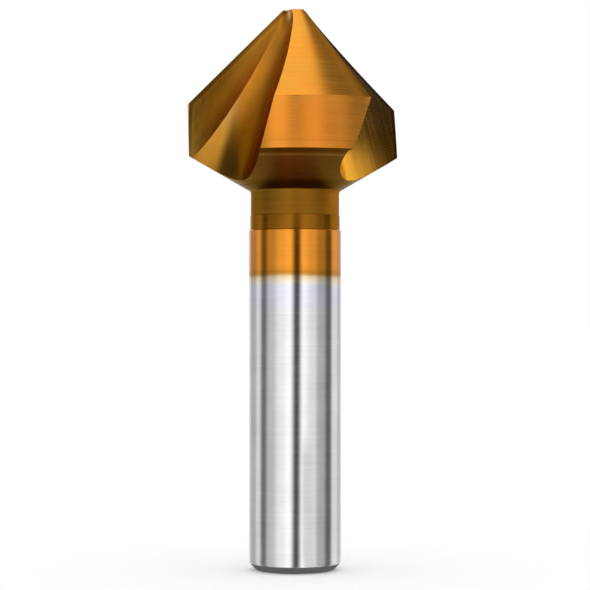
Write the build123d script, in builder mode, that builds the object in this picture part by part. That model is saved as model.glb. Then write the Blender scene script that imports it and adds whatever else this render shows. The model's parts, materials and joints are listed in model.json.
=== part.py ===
"""Three-flute countersink bit with a plain round shank, ground from one bar.

Frame: origin at the centre of the flat shank end, +Z along the axis to the tip.
Seen from the tip the bit cuts turning anticlockwise, so every lobe leads with the
edge on its anticlockwise side. All lengths in millimetres, all angles in degrees.
"""
import os
from math import cos, hypot, radians, sin, tan

from build123d import *

# Head
head_d = 28.0
point_angle = 90.0
tip_flat_d = 3.2
land_length = 6.6
land_back_taper = 1.6
back_cone_angle = 60.0

# Neck and shank. Neck and back cone together reach from the collar to the lower rim
# of the head.
neck_to_rim_length = 7.8
neck_d = 11.5
neck_corner_r = 0.4
collar_d = 11.66
collar_length = 1.9
shank_d = 12.0
shank_length = 44.1
foot_chamfer = 1.0

# Three ground lobes, each with one cutting edge
flutes = 3
first_edge_azimuth = 313.0
flank_lead = 0.25
land_lead = 0.05

# Flute: a hooked trough that shallows towards the shank
flute_outward_slope = 0.3
flute_sideways_slope = 0.067
flute_root_r = 7.6
flute_root_out = 11.5
flute_root_side = 4.1
heel_wall_r = 33.0
heel_wall_sweep = 60.0
rake_face_lean = 0.38

# Sizes that follow from the ones above
head_r = head_d / 2
neck_r = neck_d / 2
collar_r = collar_d / 2
shank_r = shank_d / 2
pitch = 360 / flutes
half_point = radians(point_angle / 2)
back_cone_spread = tan(radians(back_cone_angle))
land_spread = tan(radians(land_back_taper))
neck_bottom_z = shank_length + collar_length
land_bottom_z = neck_bottom_z + neck_to_rim_length
land_top_z = land_bottom_z + land_length
apex_z = land_top_z + head_r / tan(half_point)
overall_length = apex_z - tip_flat_d / 2 / tan(half_point)
back_apex_z = land_bottom_z - (head_r - land_length * land_spread) / back_cone_spread
neck_top_z = back_apex_z + neck_r / back_cone_spread

# Long enough to reach past the head from anywhere inside it
reach = 2 * head_d


def along(azimuth, distance):
    """Horizontal offset of the given length towards an azimuth."""
    return distance * cos(radians(azimuth)), distance * sin(radians(azimuth))


# One lobe's ground envelope. The axes of its flank cone and of its land stand ahead
# of the cutting edge, so both surfaces drop away behind the edge. The lobe keeps the
# wedge of one pitch, from inside the flute behind it to inside the flute ahead.
lead_azimuth = first_edge_azimuth + 90
flank_apex_z = land_top_z + hypot(head_r, flank_lead) / tan(half_point)
flank_axis = Plane(origin=(*along(lead_azimuth, flank_lead), flank_apex_z))
flank_depth = flank_apex_z - back_apex_z
land_axis = Plane(origin=(*along(lead_azimuth, land_lead), back_apex_z))
land_base_r = hypot(head_r, land_lead) - (land_top_z - back_apex_z) * land_spread

with BuildPart() as lobe:
    with Locations(flank_axis):
        Cone(
            flank_depth * tan(half_point),
            0,
            flank_depth,
            align=(Align.CENTER, Align.CENTER, Align.MAX),
        )
    with BuildSketch(Plane.XY):
        with BuildLine():
            behind = along(first_edge_azimuth - 0.75 * pitch, reach)
            middle = along(first_edge_azimuth - 0.25 * pitch, reach)
            in_front = along(first_edge_azimuth + 0.25 * pitch, reach)
            Polyline((0, 0), behind, middle, in_front, close=True)
        make_face()
    extrude(amount=overall_length, mode=Mode.INTERSECT)
    with Locations(land_axis):
        Cone(
            land_base_r,
            land_base_r + reach * land_spread,
            reach,
            align=(Align.CENTER, Align.CENTER, Align.MIN),
            mode=Mode.INTERSECT,
        )

# The flute cutter: a trough with a round root and a long, gently hollow heel wall,
# sketched square to its own run, then cut off by the flat rake face. The rake face
# holds the cutting edge and the point of the cone.
edge = Vector(*along(first_edge_azimuth, 1), 0)
ahead = Vector(*along(lead_azimuth, 1), 0)
up = Vector(0, 0, 1)
flute_run = (up - edge * flute_outward_slope - ahead * flute_sideways_slope).normalized()
flute_plane = Plane(
    origin=(0, 0, land_top_z),
    x_dir=edge - flute_run * edge.dot(flute_run),
    z_dir=flute_run,
)
rake_plane = Plane(
    origin=(0, 0, apex_z),
    x_dir=edge - up,
    z_dir=ahead - (edge + up) * rake_face_lean,
)

with BuildPart() as flute:
    with BuildSketch(flute_plane):
        with BuildLine():
            root = CenterArc((flute_root_out, flute_root_side), flute_root_r, 180, 90)
            heel_wall = JernArc(
                start=root @ 0,
                tangent=root % 0 * -1,
                radius=heel_wall_r,
                arc_size=-heel_wall_sweep,
            )
            Polyline(
                heel_wall @ 1,
                (reach, (heel_wall @ 1).Y),
                (reach, (root @ 1).Y),
                root @ 1,
            )
        make_face()
    extrude(amount=reach, both=True)
    split(bisect_by=rake_plane, keep=Keep.TOP)

# The whole bit: the lobes trimmed by the back cone, then neck and shank, and last
# the flutes, which run out through the back cone.
with BuildPart() as bit:
    with PolarLocations(0, flutes):
        add(lobe.part)
    with BuildSketch(Plane.XZ):
        with BuildLine():
            rim_z = back_apex_z + reach / back_cone_spread
            Polyline((0, back_apex_z), (reach, rim_z), (0, rim_z), close=True)
        make_face()
    revolve(mode=Mode.INTERSECT)
    with BuildSketch(Plane.XZ):
        with BuildLine():
            Polyline(
                (0, 0),
                (shank_r, 0),
                (shank_r, shank_length),
                (collar_r, shank_length),
                (collar_r, neck_bottom_z),
                (neck_r, neck_bottom_z),
                (neck_r, neck_top_z),
                (0, back_apex_z),
                close=True,
            )
        make_face()
    revolve()
    neck_corner = bit.edges().filter_by(GeomType.CIRCLE).filter_by_position(
        Axis.Z, neck_top_z - 0.01, neck_top_z + 0.01
    )
    fillet(neck_corner, neck_corner_r)
    with PolarLocations(0, flutes):
        add(flute.part, mode=Mode.SUBTRACT)
    foot = bit.faces().sort_by(Axis.Z)[0]
    chamfer(foot.edges(), foot_chamfer)

bit.part.label = "bit"
os.makedirs("parts", exist_ok=True)
export_step(bit.part, "parts/bit.step")
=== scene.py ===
"""Looks of the countersink bit: gold coated ground head and bright ground shank.

The bit is built again here at a fine resolution from the sizes of the part: an
envelope of three relieved lobes on a turned neck and shank, cut by three flute
cutters. Lengths in this file are millimetres until they go into a mesh, a shader or
the camera, which are in metres. Azimuths are degrees, and the part's other angles
are radians.
"""
import json
from math import cos, hypot, pi, radians, sin, tan

import bmesh
import bpy
import numpy as np
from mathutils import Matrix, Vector

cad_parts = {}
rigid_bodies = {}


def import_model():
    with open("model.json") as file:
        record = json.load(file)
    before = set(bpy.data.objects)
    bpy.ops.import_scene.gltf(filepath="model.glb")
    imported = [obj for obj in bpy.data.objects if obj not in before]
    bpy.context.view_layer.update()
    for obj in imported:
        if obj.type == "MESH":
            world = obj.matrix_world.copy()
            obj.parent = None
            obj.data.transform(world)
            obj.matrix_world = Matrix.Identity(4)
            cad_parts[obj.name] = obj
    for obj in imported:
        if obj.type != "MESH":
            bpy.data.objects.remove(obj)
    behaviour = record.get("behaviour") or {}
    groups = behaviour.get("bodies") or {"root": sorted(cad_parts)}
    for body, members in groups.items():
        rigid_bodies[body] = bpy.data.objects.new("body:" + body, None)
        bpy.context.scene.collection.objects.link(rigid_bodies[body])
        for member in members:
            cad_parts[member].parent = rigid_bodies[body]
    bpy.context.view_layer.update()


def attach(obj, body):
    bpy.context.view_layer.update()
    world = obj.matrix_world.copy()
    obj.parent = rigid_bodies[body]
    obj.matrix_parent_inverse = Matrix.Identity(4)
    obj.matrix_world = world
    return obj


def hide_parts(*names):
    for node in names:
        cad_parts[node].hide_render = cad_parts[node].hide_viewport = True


for old in list(bpy.data.objects):
    bpy.data.objects.remove(old, do_unlink=True)

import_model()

MM = 0.001

# --- sizes of the part -------------------------------------------------------
head_r = 14.0
tip_r = 1.6
half_point = radians(45)
land_length = 6.6
land_taper = radians(1.6)
back_angle = radians(60)

neck_to_rim_length = 7.8
neck_r = 5.75
neck_corner_r = 0.4
collar_r = 5.83
collar_length = 1.9
shank_r = 6.0
shank_length = 44.1
foot_chamfer = 1.0

flutes = 3
first_edge = 313.0
flank_lead = 0.25
land_lead = 0.05

flute_outward = 0.3
flute_sideways = 0.067
root_r = 7.6
root_across = 11.5
root_deep = 4.1
heel_r = 33.0
heel_sweep = radians(60)
rake_lean = 0.38

pitch = 360 / flutes
neck_bottom = shank_length + collar_length
land_bottom = neck_bottom + neck_to_rim_length
land_top = land_bottom + land_length
apex = land_top + head_r / tan(half_point)
overall_length = apex - tip_r / tan(half_point)
back_apex = land_bottom - (head_r - land_length * tan(land_taper)) / tan(back_angle)

# The apex of a lobe's flank cone and the radius of its land, each about its own axis
flank_apex = land_top + hypot(head_r, flank_lead) / tan(half_point)
land_own_r = hypot(head_r, land_lead)

# Edge breaks, which only the looks have: how far each reaches from its edge
collar_break = 0.03
shank_break = 0.08
chamfer_top_break_up = 0.05
chamfer_top_break_down = 0.04
chamfer_foot_break_up = 0.05
chamfer_foot_break_in = 0.03

# The kinds of surface number the materials of the mesh
KINDS = range(10)
FLANK, LAND, BACK, NECK, COLLAR, SHANK, FOOT, TROUGH, RAKE, TIP = KINDS

# --- envelope ----------------------------------------------------------------
# The envelope is made of rings of points, from the tip down. Each ring has so many
# points, and each surface so many rings.
COLUMNS = 720
CONE_RINGS = 24
LAND_RINGS = 8
BACK_RINGS = 12
CORNER_RINGS = 6
NECK_RINGS = 4
SHANK_RINGS = 23

# Radius of the rings in the middle of the two end faces
POLE_R = 0.02

# A lobe reaches so far behind and so far ahead of its edge, and ends inside flutes
LOBE_BEHIND = 0.75 * pitch
LOBE_AHEAD = 0.25 * pitch

phi = radians(first_edge + LOBE_AHEAD) + 2 * pi * (np.arange(COLUMNS) + 0.5) / COLUMNS


def off_axis(lead, rho):
    """Distance from the main axis to a circle about an axis that leads the edge."""
    from_edge = np.mod(np.degrees(phi) - first_edge + LOBE_BEHIND, pitch) - LOBE_BEHIND
    along = lead * np.cos(np.radians(from_edge - 90))
    return along + np.sqrt(along**2 - lead**2 + rho**2)


def flank(z):
    return off_axis(flank_lead, (flank_apex - z) * tan(half_point))


def land(z):
    return off_axis(land_lead, land_own_r - (land_top - z) * tan(land_taper))


def back(z):
    return (z - back_apex) * tan(back_angle)


# How often the search for a meeting height halves its range
HALVINGS = 50


def meet(one, other, near):
    """Height where two surfaces of the envelope meet near a height, at each azimuth."""
    low = np.full(COLUMNS, near - 1)
    high = np.full(COLUMNS, near + 1)
    for _ in range(HALVINGS):
        middle = (low + high) / 2
        same_side = (one(middle) - other(middle)) * (one(low) - other(low)) > 0
        low = np.where(same_side, middle, low)
        high = np.where(same_side, high, middle)
    return (low + high) / 2


rings = []
ring_kinds = []


def ring(r, z, kind):
    """The next ring down. The surface between it and the ring above has this kind."""
    rings.append(np.stack((r * np.cos(phi), r * np.sin(phi), z + 0 * phi), axis=1))
    ring_kinds.append(kind)


def shares(count):
    """How far down a surface each of its rings lies, from just below its top to its foot."""
    return np.linspace(0, 1, count + 1)[1:]


def step(r_above, r_below, z, kind_above, kind_below, edge_break):
    """The shoulder between a cylinder and the wider one below it."""
    ring(r_above, z, kind_above)
    ring(r_below - edge_break, z, kind_below)
    ring(r_below, z - edge_break, kind_below)


# The tip, the cone and the land
ring(POLE_R, overall_length, TIP)
ring(flank(overall_length), overall_length, TIP)
cone_foot = meet(flank, land, land_top)
for share in shares(CONE_RINGS):
    z = overall_length + (cone_foot - overall_length) * share
    ring(flank(z), z, FLANK)
rim = meet(land, back, land_bottom)
for share in shares(LAND_RINGS):
    z = cone_foot + (rim - cone_foot) * share
    ring(land(z), z, LAND)

# The back cone, its fillet at the neck, and the neck
rim_r = land(rim)
corner_r = neck_r + neck_corner_r * (1 - cos(back_angle))
corner_top = back_apex + corner_r / tan(back_angle)
corner_foot = corner_top - neck_corner_r * sin(back_angle)
for share in shares(BACK_RINGS):
    ring(rim_r + (corner_r - rim_r) * share, rim + (corner_top - rim) * share, BACK)
for angle in back_angle * (1 - shares(CORNER_RINGS)):
    ring(neck_r + neck_corner_r * (1 - cos(angle)), corner_foot + neck_corner_r * sin(angle), NECK)
for share in shares(NECK_RINGS + 1)[:-1]:
    ring(neck_r, corner_foot + (neck_bottom - corner_foot) * share, NECK)

# The neck's foot and the collar, then the shank and its chamfered end
step(neck_r, collar_r, neck_bottom, NECK, COLLAR, collar_break)
step(collar_r, shank_r, shank_length, COLLAR, SHANK, shank_break)
shank_top = shank_length - shank_break
shank_foot = foot_chamfer + chamfer_top_break_up
end_r = shank_r - foot_chamfer
for share in shares(SHANK_RINGS):
    ring(shank_r, shank_top + (shank_foot - shank_top) * share, SHANK)
ring(shank_r - chamfer_top_break_down, foot_chamfer - chamfer_top_break_down, FOOT)
ring(end_r + chamfer_foot_break_up, chamfer_foot_break_up, FOOT)
ring(end_r - chamfer_foot_break_in, 0.0, FOOT)
ring(POLE_R, 0.0, FOOT)


def new_object(name, points, polygons):
    mesh = bpy.data.meshes.new(name)
    mesh.from_pydata((np.array(points) * MM).tolist(), [], polygons)
    obj = bpy.data.objects.new(name, mesh)
    bpy.context.scene.collection.objects.link(obj)
    return obj


def set_kinds(obj, kinds):
    """Room for one material of each kind, and the kind of each polygon."""
    for _ in KINDS:
        obj.data.materials.append(None)
    obj.data.polygons.foreach_set("material_index", kinds)
    obj.data.update()


def envelope():
    """The rings joined by strips of four-sided polygons and closed at both ends."""
    polygons = []
    kinds = []
    for i in range(len(rings) - 1):
        upper = i * COLUMNS
        lower = upper + COLUMNS
        for j in range(COLUMNS):
            k = (j + 1) % COLUMNS
            polygons.append((upper + j, lower + j, lower + k, upper + k))
            kinds.append(ring_kinds[i + 1])
    last = (len(rings) - 1) * COLUMNS
    polygons.append(tuple(range(COLUMNS)))
    polygons.append(tuple(reversed(range(last, last + COLUMNS))))
    kinds += [TIP, FOOT]
    obj = new_object("countersink", np.concatenate(rings), polygons)
    set_kinds(obj, kinds)
    return obj


# --- flutes --------------------------------------------------------------------
UP = Vector((0, 0, 1))

# Points along the round root and along the heel wall
ROOT_POINTS = 73
HEEL_POINTS = 60

# Points nearer to each other than this are joined, and edges sharper than this are hard
WELD = 0.004
SHARP = radians(16)


def edge_axes(azimuth):
    """Level directions out to a cutting edge and ahead of it."""
    edge = Vector((cos(radians(azimuth)), sin(radians(azimuth)), 0))
    return edge, Vector((-edge.y, edge.x, 0))


def flute_axes(azimuth):
    """The flute's own directions: across, deep and along its run."""
    edge, ahead = edge_axes(azimuth)
    run = (UP - edge * flute_outward - ahead * flute_sideways).normalized()
    across = (edge - run * edge.dot(run)).normalized()
    return across, run.cross(across), run


def flute_section(far):
    """The flute's outline, across and deep: a round root and a long hollow heel wall."""
    section = []
    for angle in np.linspace(pi, 1.5 * pi, ROOT_POINTS):
        section.append((root_across + root_r * cos(angle), root_deep + root_r * sin(angle)))
    section.append((far, root_deep - root_r))
    section.append((far, root_deep + heel_r * sin(heel_sweep)))
    heel_across = root_across - root_r + heel_r
    for angle in np.linspace(pi - heel_sweep, pi, HEEL_POINTS, endpoint=False):
        section.append((heel_across + heel_r * cos(angle), root_deep + heel_r * sin(angle)))
    return section


def cutter(azimuth):
    """A long bar with the flute's section, cut off by the flat rake face."""
    edge, ahead = edge_axes(azimuth)
    across, deep, run = flute_axes(azimuth)
    far = 2 * head_r
    section = flute_section(far)
    points = []
    for end in (-2 * far, 2 * far):
        for u, v in section:
            points.append(UP * land_top + across * u + deep * v + run * end)
    n = len(section)
    polygons = [tuple(reversed(range(n))), tuple(range(n, 2 * n))]
    for i in range(n):
        k = (i + 1) % n
        polygons.append((i, k, n + k, n + i))
    obj = new_object("cutter", points, polygons)
    set_kinds(obj, [TROUGH] * len(polygons))

    bm = bmesh.new()
    bm.from_mesh(obj.data)
    cut = bmesh.ops.bisect_plane(
        bm,
        geom=bm.verts[:] + bm.edges[:] + bm.faces[:],
        plane_co=Vector((0, 0, apex * MM)),
        plane_no=(ahead - (edge + UP) * rake_lean).normalized(),
        clear_inner=True,
    )
    outline = [item for item in cut["geom_cut"] if isinstance(item, bmesh.types.BMEdge)]
    for face in bmesh.ops.contextual_create(bm, geom=outline)["faces"]:
        face.material_index = RAKE
    bmesh.ops.recalc_face_normals(bm, faces=bm.faces)
    bm.to_mesh(obj.data)
    bm.free()
    return obj


def ground_bit():
    """The envelope with its flutes cut out."""
    bit = envelope()
    cutters = [cutter(first_edge + pitch * i) for i in range(flutes)]
    for tool in cutters:
        cut = bit.modifiers.new("flute", "BOOLEAN")
        cut.operation = "DIFFERENCE"
        cut.solver = "MANIFOLD"
        cut.object = tool
    graph = bpy.context.evaluated_depsgraph_get()
    mesh = bpy.data.meshes.new_from_object(bit.evaluated_get(graph))
    bit.modifiers.clear()
    bit.data = mesh
    for tool in cutters:
        bpy.data.objects.remove(tool, do_unlink=True)

    bm = bmesh.new()
    bm.from_mesh(mesh)
    bmesh.ops.remove_doubles(bm, verts=bm.verts, dist=WELD * MM)
    bmesh.ops.recalc_face_normals(bm, faces=bm.faces)
    bm.to_mesh(mesh)
    bm.free()
    mesh.polygons.foreach_set("use_smooth", [True] * len(mesh.polygons))
    mesh.set_sharp_from_angle(angle=SHARP)
    return bit


body = ground_bit()


# --- shader helpers --------------------------------------------------------------
def material(name):
    mat = bpy.data.materials.new(name)
    mat.use_nodes = True
    nodes = mat.node_tree.nodes
    nodes.clear()
    out = nodes.new("ShaderNodeOutputMaterial")
    shader = nodes.new("ShaderNodeBsdfPrincipled")
    mat.node_tree.links.new(shader.outputs[0], out.inputs[0])
    return mat, mat.node_tree, shader


def add(tree, kind, inputs, **settings):
    """A new shader node. Each input is a plain value or the output of another node."""
    made = tree.nodes.new("ShaderNode" + kind)
    for name, value in settings.items():
        setattr(made, name, value)
    for key, value in inputs.items():
        if isinstance(value, bpy.types.NodeSocket):
            tree.links.new(value, made.inputs[key])
        else:
            made.inputs[key].default_value = value
    return made


def number(tree, operation, a, b=0.0):
    """What an operation makes of one or two numbers."""
    return add(tree, "Math", {0: a, 1: b}, operation=operation).outputs[0]


def product(tree, a, b):
    """Two places or colours multiplied part by part."""
    return add(tree, "VectorMath", {0: a, 1: b}, operation="MULTIPLY").outputs[0]


def noise(tree, where, per_metre, detail=2.0):
    """Noise that changes so many times in a metre along each of the three axes."""
    drawn = product(tree, where, per_metre)
    return add(tree, "TexNoise", {"Vector": drawn, "Scale": 1.0, "Detail": detail}).outputs[0]


def spread(tree, factor, low, high, start=0.3, end=0.7):
    """The factor's middle stretch laid out from low to high."""
    ends = {"Value": factor, "From Min": start, "From Max": end, "To Min": low, "To Max": high}
    return add(tree, "MapRange", ends).outputs[0]


def stops(tree, length, places):
    """Colours at places along a length, in millimetres, eased from one to the next."""
    first, last = places[0][0], places[-1][0]
    factor = spread(tree, length, 0.0, 1.0, first * MM, last * MM)
    made = add(tree, "ValToRGB", {0: factor})
    elements = made.color_ramp.elements
    while len(elements) < len(places):
        elements.new(0.5)
    for element, (at, colour) in zip(elements, places):
        element.position = (at - first) / (last - first)
        element.color = (*colour, 1)
    return made.outputs[0]


def shaded(tree, colour, length, places):
    """A colour made darker or lighter at places along a length, in millimetres."""
    greys = [(at, (shade, shade, shade)) for at, shade in places]
    return product(tree, colour, stops(tree, length, greys))


def place(tree):
    return add(tree, "TexCoord", {}).outputs["Object"]


def height(tree, where):
    return add(tree, "SeparateXYZ", {0: where}).outputs["Z"]


def radius(tree, where):
    flat = product(tree, where, (1, 1, 0))
    return add(tree, "VectorMath", {0: flat}, operation="LENGTH").outputs["Value"]


# Each flute's sector starts so many degrees behind the flute's edge
SECTOR_BEHIND = 28


def flute_place(tree):
    """Place in the flute's own frame: across, deep and along its run.

    Each flute's sector is turned onto the first, so that the flutes look the same.
    """
    where = place(tree)
    parts = add(tree, "SeparateXYZ", {0: where})
    azimuth = number(tree, "ARCTAN2", parts.outputs["Y"], parts.outputs["X"])
    past_start = number(tree, "SUBTRACT", azimuth, radians(first_edge - SECTOR_BEHIND))
    sector = number(tree, "FLOOR", number(tree, "DIVIDE", past_start, radians(pitch)))
    turn = number(tree, "MULTIPLY", sector, radians(-pitch))
    turned = add(tree, "VectorRotate", {"Vector": where, "Angle": turn}, rotation_type="Z_AXIS")
    axes = []
    for axis in flute_axes(first_edge):
        dot = add(tree, "VectorMath", {0: turned.outputs[0], 1: axis}, operation="DOT_PRODUCT")
        axes.append(dot.outputs["Value"])
    return add(tree, "CombineXYZ", dict(enumerate(axes))).outputs[0]


def rim_distance(tree):
    """How far a point lies inside the outermost cone and cylinder of the head."""
    where = place(tree)
    r = radius(tree, where)
    from_land = number(tree, "SUBTRACT", head_r * MM, r)
    below_apex = number(tree, "SUBTRACT", apex * MM, height(tree, where))
    cone_from_axis = number(tree, "MULTIPLY", below_apex, sin(half_point))
    point_from_axis = number(tree, "MULTIPLY", r, cos(half_point))
    from_cone = number(tree, "SUBTRACT", cone_from_axis, point_from_axis)
    return number(tree, "MINIMUM", from_land, from_cone)


# --- paints, which give a finish its colour --------------------------------------
GOLD = (0.86, 0.32, 0.035)
OLIVE = (0.80, 0.35, 0.045)
STEEL = (0.84, 0.84, 0.855)

# How often the coat's tint and the height of its edge change in a metre
TINT_DRIFT = (170, 170, 90)
EDGE_WANDER = (300, 300, 300)

# The coat's edge on the shank moves up and down by so much
EDGE_MOVES = 0.1


def coat(first, second):
    """The coat's colour, which drifts between two tints over a few millimetres."""
    def paint(tree):
        drift = spread(tree, noise(tree, place(tree), TINT_DRIFT), 0.0, 1.0, 0.35, 0.65)
        tints = {"Factor": drift, "A": (*first, 1), "B": (*second, 1)}
        return add(tree, "Mix", tints, data_type="RGBA").outputs["Result"]
    return paint


def shank_paint(tree):
    """Bare steel below, then a faint blue tint, then the coat's bronze edge and the coat."""
    where = place(tree)
    wander = spread(tree, noise(tree, where, EDGE_WANDER), -EDGE_MOVES * MM, EDGE_MOVES * MM)
    return stops(tree, number(tree, "ADD", height(tree, where), wander), [
        (31.0, STEEL),
        (33.5, (0.83, 0.845, 0.84)),
        (34.9, (0.82, 0.82, 0.91)),
        (36.6, (0.80, 0.82, 0.94)),
        (37.2, (0.89, 0.83, 0.75)),
        (37.6, (0.92, 0.77, 0.55)),
        (37.95, (0.84, 0.66, 0.44)),
        (38.25, (0.66, 0.36, 0.10)),
        (38.5, (0.60, 0.25, 0.028)),
        (39.0, (0.76, 0.29, 0.032)),
        (39.5, GOLD),
        (shank_length, GOLD),
    ])


def land_paint_and_highlight(tree):
    """The land gets a painted highlight in a narrow lip at its lower end, and a painted dark line
    just above it.
    """
    colour = coat((0.82, 0.27, 0.03), (0.77, 0.33, 0.045))(tree)
    # Painted highlight at the lower lip, and painted shade in a thin line above it
    return shaded(tree, colour, height(tree, place(tree)), [
        (land_bottom, 1.0),
        (land_bottom + 0.25, 1.0),
        (land_bottom + 0.7, 0.97),
        (land_bottom + 0.9, 0.86),
        (land_bottom + 1.15, 0.94),
        (land_top, 0.98),
    ])


def rake_paint_and_edge_shade(tree):
    """The rake face gets a painted shade margin at its rim, with a painted highlight line inside
    it.
    """
    colour = coat((0.86, 0.54, 0.12), (0.76, 0.61, 0.12))(tree)
    # Painted shade at the rim, and a painted highlight line just inside it
    return shaded(tree, colour, rim_distance(tree), [
        (0, 0.5),
        (0.4, 0.6),
        (0.6, 1.0),
        (0.75, 1.0),
        (1.0, 0.88),
        (2.5, 0.9),
    ])


# The painted shade on the flute's heel side reaches further across it towards the shank
SHADE_SIDE_LEAN = 0.25


def trough_paint_and_shade(tree):
    """Painted shade in the flute: darker on its heel side and towards the shank, and a painted
    dark rim with a painted highlight band inside it.
    """
    colour = coat((0.88, 0.51, 0.24), (0.84, 0.44, 0.2))(tree)
    z = height(tree, place(tree))
    deep = add(tree, "SeparateXYZ", {0: flute_place(tree)}).outputs["Y"]
    side = number(tree, "SUBTRACT", deep, number(tree, "MULTIPLY", z, SHADE_SIDE_LEAN))
    side_on_axis = land_top * (flute_axes(first_edge)[1].z - SHADE_SIDE_LEAN)
    # Painted shade on the flute's heel side
    colour = shaded(tree, colour, side, [
        (side_on_axis - 2.2, 1.0),
        (side_on_axis - 1.2, 0.95),
        (side_on_axis + 0.4, 0.62),
        (side_on_axis + 12, 0.55),
    ])
    # Painted shade deeper in the flute, towards the shank
    painted_shade_towards_shank = stops(tree, z, [
        (51.0, (0.58, 0.48, 0.1)),
        (57.0, (0.65, 0.53, 0.15)),
        (61.0, (0.8, 0.77, 0.5)),
        (65.0, (1, 1, 1)),
    ])
    # Painted shade at the flute's rim, with a painted highlight band inside it
    return shaded(tree, product(tree, colour, painted_shade_towards_shank), rim_distance(tree), [
        (0.1, 0.4),
        (0.5, 0.5),
        (0.65, 1.0),
        (0.85, 1.0),
        (1.1, 0.85),
        (3.0, 0.86),
    ])


def back_painted_shade(tree):
    """The back cone is turned. Its colour is painted shade, dark all over for the shaded floor it
    mirrors and darkest in the corner at the neck and at the rim, with a painted highlight line
    near the rim.
    """
    # Painted shade all over, deepest in the neck's corner and at the rim, with a painted highlight
    # line at about 12.5 mm
    return stops(tree, radius(tree, place(tree)), [
        (5.8, (0.10, 0.035, 0.005)),
        (6.4, (0.05, 0.014, 0.002)),
        (7.3, (0.07, 0.024, 0.004)),
        (8.2, (0.15, 0.06, 0.01)),
        (12.2, (0.15, 0.06, 0.01)),
        (12.5, (0.26, 0.13, 0.03)),
        (12.8, (0.17, 0.07, 0.012)),
        (13.1, (0.09, 0.03, 0.003)),
        (head_r, (0.12, 0.04, 0.004)),
    ])


# --- finishes --------------------------------------------------------------------
# How often marks change in a metre. They run round the bit on turned and ground
# faces, and along the run in a flute.
ROUND = (90, 90, 5200)
ALONG_FLUTE = (2600, 2600, 50)

# How often patches change in a metre, and what they do to the colour and the dullness
PATCHES = (260, 260, 260)
PATCH_SHADE = (0.94, 1.06)
PATCH_DULL = (-0.02, 0.02)
MARK_DETAIL = 3.0

# Coated metal stays warm where it is seen at a grazing angle, and bare steel white
WARM = (1.0, 0.82, 0.52)
WHITE = (1.0, 1.0, 1.0)


def finish(name, paint, rough, marks=ROUND, where=place, relief=0.25, depth=0.0, edge=WARM):
    """A ground metal: its colour, its marks, and how dull it is between two limits."""
    mat, tree, shader = material(name)
    spot = where(tree)
    lines = noise(tree, spot, marks, MARK_DETAIL)
    patches = noise(tree, spot, PATCHES, MARK_DETAIL)
    line_shade = spread(tree, lines, 1 - relief / 2, 1 + relief / 2)
    shade = number(tree, "MULTIPLY", line_shade, spread(tree, patches, *PATCH_SHADE))
    colour = add(tree, "VectorMath", {0: paint(tree), "Scale": shade}, operation="SCALE")
    tree.links.new(colour.outputs[0], shader.inputs["Base Color"])
    dull = number(tree, "ADD", spread(tree, lines, *rough), spread(tree, patches, *PATCH_DULL))
    tree.links.new(dull, shader.inputs["Roughness"])
    shader.inputs["Metallic"].default_value = 1.0
    shader.inputs["Specular Tint"].default_value = (*edge, 1)
    if depth:
        bump = add(tree, "Bump", {"Height": lines, "Strength": 1.0, "Distance": depth * MM})
        tree.links.new(bump.outputs[0], shader.inputs["Normal"])
    return mat


flank_coat = coat(GOLD, OLIVE)
neck_coat = coat((0.37, 0.13, 0.01), (0.28, 0.155, 0.014))
collar_coat = coat((0.35, 0.125, 0.008), (0.31, 0.125, 0.01))
bare = coat(STEEL, STEEL)
in_flute = {"marks": ALONG_FLUTE, "where": flute_place, "relief": 0.1}
looks = {
    FLANK: finish("ground_flank", flank_coat, (0.2, 0.28), relief=0.12),
    LAND: finish("ground_land", land_paint_and_highlight, (0.2, 0.3), relief=0.12),
    # The back cone's colour is painted shade
    BACK: finish("turned_back_painted_shade", back_painted_shade, (0.28, 0.38), depth=0.002),
    NECK: finish("turned_neck", neck_coat, (0.4, 0.5)),
    COLLAR: finish("turned_collar", collar_coat, (0.18, 0.26), relief=0.12),
    SHANK: finish("ground_shank", shank_paint, (0.09, 0.13), relief=0.05, edge=WHITE),
    FOOT: finish("turned_foot", bare, (0.2, 0.3), edge=WHITE),
    TROUGH: finish("ground_trough", trough_paint_and_shade, (0.18, 0.26), **in_flute),
    RAKE: finish("ground_rake", rake_paint_and_edge_shade, (0.28, 0.36), **in_flute),
    TIP: finish("ground_tip", flank_coat, (0.25, 0.35)),
}
for kind, look in looks.items():
    body.data.materials[kind] = look

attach(body, "root")
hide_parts("bit")


# --- floor -----------------------------------------------------------------------
def stage_mesh(name, points, polygons):
    """A mesh of the surroundings, with a material of its own."""
    obj = new_object(name, points, polygons)
    mat, tree, shader = material(name + "_paint")
    obj.data.materials.append(mat)
    return obj, tree, shader


# Half the floor's width, and the little light it gives so that it looks white
FLOOR = 4000.0
FLOOR_GLOW = 0.09

corners = [(-FLOOR, -FLOOR, 0), (FLOOR, -FLOOR, 0), (FLOOR, FLOOR, 0), (-FLOOR, FLOOR, 0)]
_, _, shader = stage_mesh("floor", corners, [(0, 1, 2, 3)])
shader.inputs["Base Color"].default_value = (0.95, 0.95, 0.95, 1)
shader.inputs["Roughness"].default_value = 1.0
shader.inputs["Specular IOR Level"].default_value = 0.0
shader.inputs["Emission Color"].default_value = (1, 1, 1, 1)
shader.inputs["Emission Strength"].default_value = FLOOR_GLOW

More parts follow.
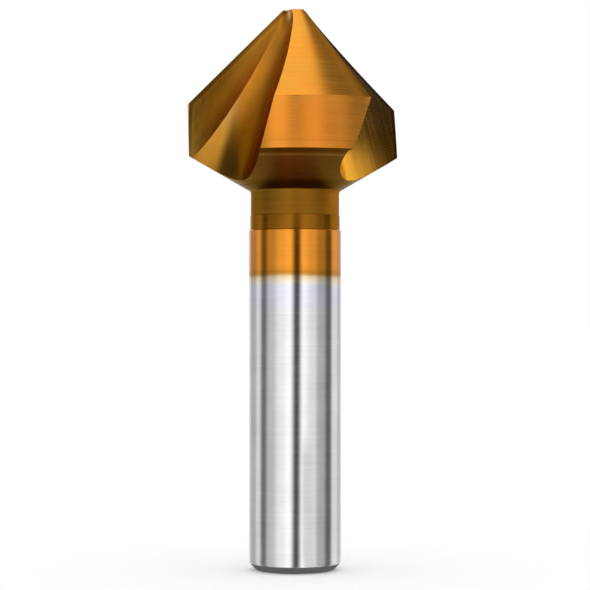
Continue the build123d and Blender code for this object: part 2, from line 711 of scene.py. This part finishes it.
# --- light tent ------------------------------------------------------------------
# A light tent stands close round the bit: soft upright panels with dark gaps between
# them, which the metal mirrors as bands. The tent is only seen in reflections. Each
# panel starts at an angle in degrees, where 0 faces the front and + is to the right,
# and has a brightness.
PANELS = [
    (-180, 0.85),
    (-141, 0.46),
    (-107, 0.78),
    (-89, 0.16),
    (-70, 0.58),
    (-46, 0.85),
    (-38, 0.97),
    (-22, 1.18),
    (-4.5, 0.06),
    (14, 1.18),
    (25, 1.0),
    (34, 0.82),
    (54, 0.45),
    (79, 0.13),
    (100, 0.8),
    (128, 0.56),
    (152, 0.9),
]
PANEL_BLUR = 3.6
TENT_R = 60.0
TENT_TOP = 150.0

# Above this height the panels fade to the tent's dark upper wall
PANEL_TOP = 66.0
PANEL_FADE = 12.0
UPPER_WALL = 0.11

# The panels lean, by so many degrees for each millimetre below this height
LEAN = 0.05
LEAN_FROM = 40.0

# Sheets hung over the panels: angles from and to, heights from and to, brightness
SHEETS = [
    (18, 42, -20, 13, 0.75),
    (-42, 26, 48.8, 54, 0.75),
    (-25, -6, 54, 66, 1.3),
    (-6, 4, 54, 66, 0.8),
    (4, 26, 54, 66, 1.12),
    (26, 50, 54, 67, 0.68),
    (50, 80, 54, 67, 0.36),
    (-61, -27, 48.8, 72, 0.45),
    (-52, -4, 73, 92, 1.35),
    (-136, -40, 88, 112, 0.95),
    (84, 138, 61, 82.5, 3.2),
    (95, 160, 133, 160, 0.36),
]
SHEET_SOFT_ANGLE = 8.0
SHEET_SOFT_HEIGHT = 2.5

# The roof is bright from left to right between two places
ROOF_LEFT = -50.0
ROOF_RIGHT = 24.0
ROOF_SOFT = 8.0
ROOF_LEVEL = 1.15
ROOF_DARK = 0.25

# A painted contact shadow: a dark ring on the floor under the foot's chamfer, seen only in
# reflections
FOOT_SHADOW_R = 6.6
FOOT_SHADOW_LEVEL = 0.12

# The skirt lies just above the floor, in rings of these radii. Then the wall rises to
# the roof's border, and the roof goes in to a small hole.
SKIRT_Z = 0.03
SKIRT_RADII = (5.05, 6.4, 6.7, 8, 10, 12.5, 16, 20, 27, 37, 48)
WALL_RINGS = 150
ROOF_RINGS = 30
ROOF_BORDER = 1.0
ROOF_HOLE_R = 0.5

# The bands are straight where the shank faces at most so many degrees to either side
SHANK_FACES = 80

around = np.arange(-180.0, 180.0)
starts, brightness = np.array(PANELS).T
sharp_panels = brightness[np.searchsorted(starts, around, side="right") - 1]


def inside(value, low, high, soft):
    """1 between two limits and 0 outside them, with soft edges."""
    rise = np.clip((value - low) / soft + 0.5, 0, 1)
    fall = np.clip((high - value) / soft + 0.5, 0, 1)
    return rise * fall


def seen_angle(facing, r):
    """Where a ray from the front that the shank mirrors crosses a circle of radius r."""
    run = np.sqrt(r**2 - (shank_r * np.sin(facing)) ** 2) - shank_r * np.cos(facing)
    x = shank_r * np.sin(facing) + run * np.sin(2 * facing)
    y = shank_r * np.cos(facing) + run * np.cos(2 * facing)
    return np.degrees(np.arctan2(x, y))


def panel_light(angle, r):
    """The panels, bent on the floor so that the shank mirrors them as straight bands."""
    facing = np.radians(np.arange(-SHANK_FACES, SHANK_FACES + 1))
    angle = np.interp(angle, seen_angle(facing, r), seen_angle(facing, TENT_R))
    apart = np.mod(angle[:, None] - around + 180, 360) - 180
    weight = np.exp(-((apart / PANEL_BLUR) ** 2) / 2)
    return (weight @ sharp_panels) / weight.sum(axis=1)


def tent_light(r, z):
    """Brightness all round the tent at a radius and a height."""
    if z >= TENT_TOP:
        x = r * np.sin(np.radians(around))
        return ROOF_DARK + (ROOF_LEVEL - ROOF_DARK) * inside(x, ROOF_LEFT, ROOF_RIGHT, ROOF_SOFT)
    # Painted contact shadow under the foot's chamfer
    if r < FOOT_SHADOW_R:
        return np.full(len(around), FOOT_SHADOW_LEVEL)
    light = panel_light(around + LEAN * max(LEAN_FROM - z, 0), r)
    up = np.clip((z - PANEL_TOP) / PANEL_FADE, 0, 1)
    light = light * (1 - up) + UPPER_WALL * up
    for left, right, bottom, top, level in SHEETS:
        across = inside(around, left, right, SHEET_SOFT_ANGLE)
        share = across * inside(z, bottom, top, SHEET_SOFT_HEIGHT)
        light = light * (1 - share) + level * share
    return light


profile = [(r, SKIRT_Z) for r in SKIRT_RADII]
profile += [(TENT_R, z) for z in np.linspace(SKIRT_Z, TENT_TOP - ROOF_BORDER, WALL_RINGS)]
profile += [(r, TENT_TOP) for r in np.linspace(TENT_R, ROOF_HOLE_R, ROOF_RINGS)]
points = []
light = []
for r, z in profile:
    for angle in np.radians(around):
        points.append((r * sin(angle), -r * cos(angle), z))
    light.extend(tent_light(r, z))
polygons = []
for i in range(len(profile) - 1):
    for j in range(len(around)):
        a = i * len(around) + j
        b = i * len(around) + (j + 1) % len(around)
        polygons.append((a, b, b + len(around), a + len(around)))
tent, tree, shader = stage_mesh("light_tent", points, polygons)
glow = tent.data.color_attributes.new("glow", "FLOAT_COLOR", "POINT")
glow.data.foreach_set("color", np.repeat(light, 4))
reader = add(tree, "VertexColor", {}, layer_name="glow")
tree.links.new(reader.outputs["Color"], shader.inputs["Emission Color"])
shader.inputs["Emission Strength"].default_value = 1.0
shader.inputs["Base Color"].default_value = (0, 0, 0, 1)
shader.inputs["Specular IOR Level"].default_value = 0.0
tent.visible_camera = False
tent.visible_diffuse = False
tent.visible_shadow = False
tent.visible_transmission = False

# --- white surroundings and camera -------------------------------------------------
world = bpy.data.worlds.new("studio")
bpy.context.scene.world = world
world.use_nodes = True
sky = world.node_tree.nodes["Background"]
sky.inputs["Color"].default_value = (1, 1, 1, 1)
sky.inputs["Strength"].default_value = 1.0

# The camera stands in front, looks a little upwards, and has a long lens
CAMERA_PLACE = Vector((0, -256.0, 33.0))
CAMERA_TARGET = Vector((0, 0, 35.7))
CAMERA_LENS = 119.9
CAMERA_SENSOR = 36

camera_data = bpy.data.cameras.new("camera")
camera_data.lens = CAMERA_LENS
camera_data.sensor_width = CAMERA_SENSOR
camera = bpy.data.objects.new("camera", camera_data)
bpy.context.scene.collection.objects.link(camera)
camera.location = CAMERA_PLACE * MM
camera.rotation_euler = (CAMERA_TARGET - CAMERA_PLACE).to_track_quat("-Z", "Y").to_euler()
bpy.context.scene.camera = camera
bpy.context.scene.view_settings.view_transform = "Standard"
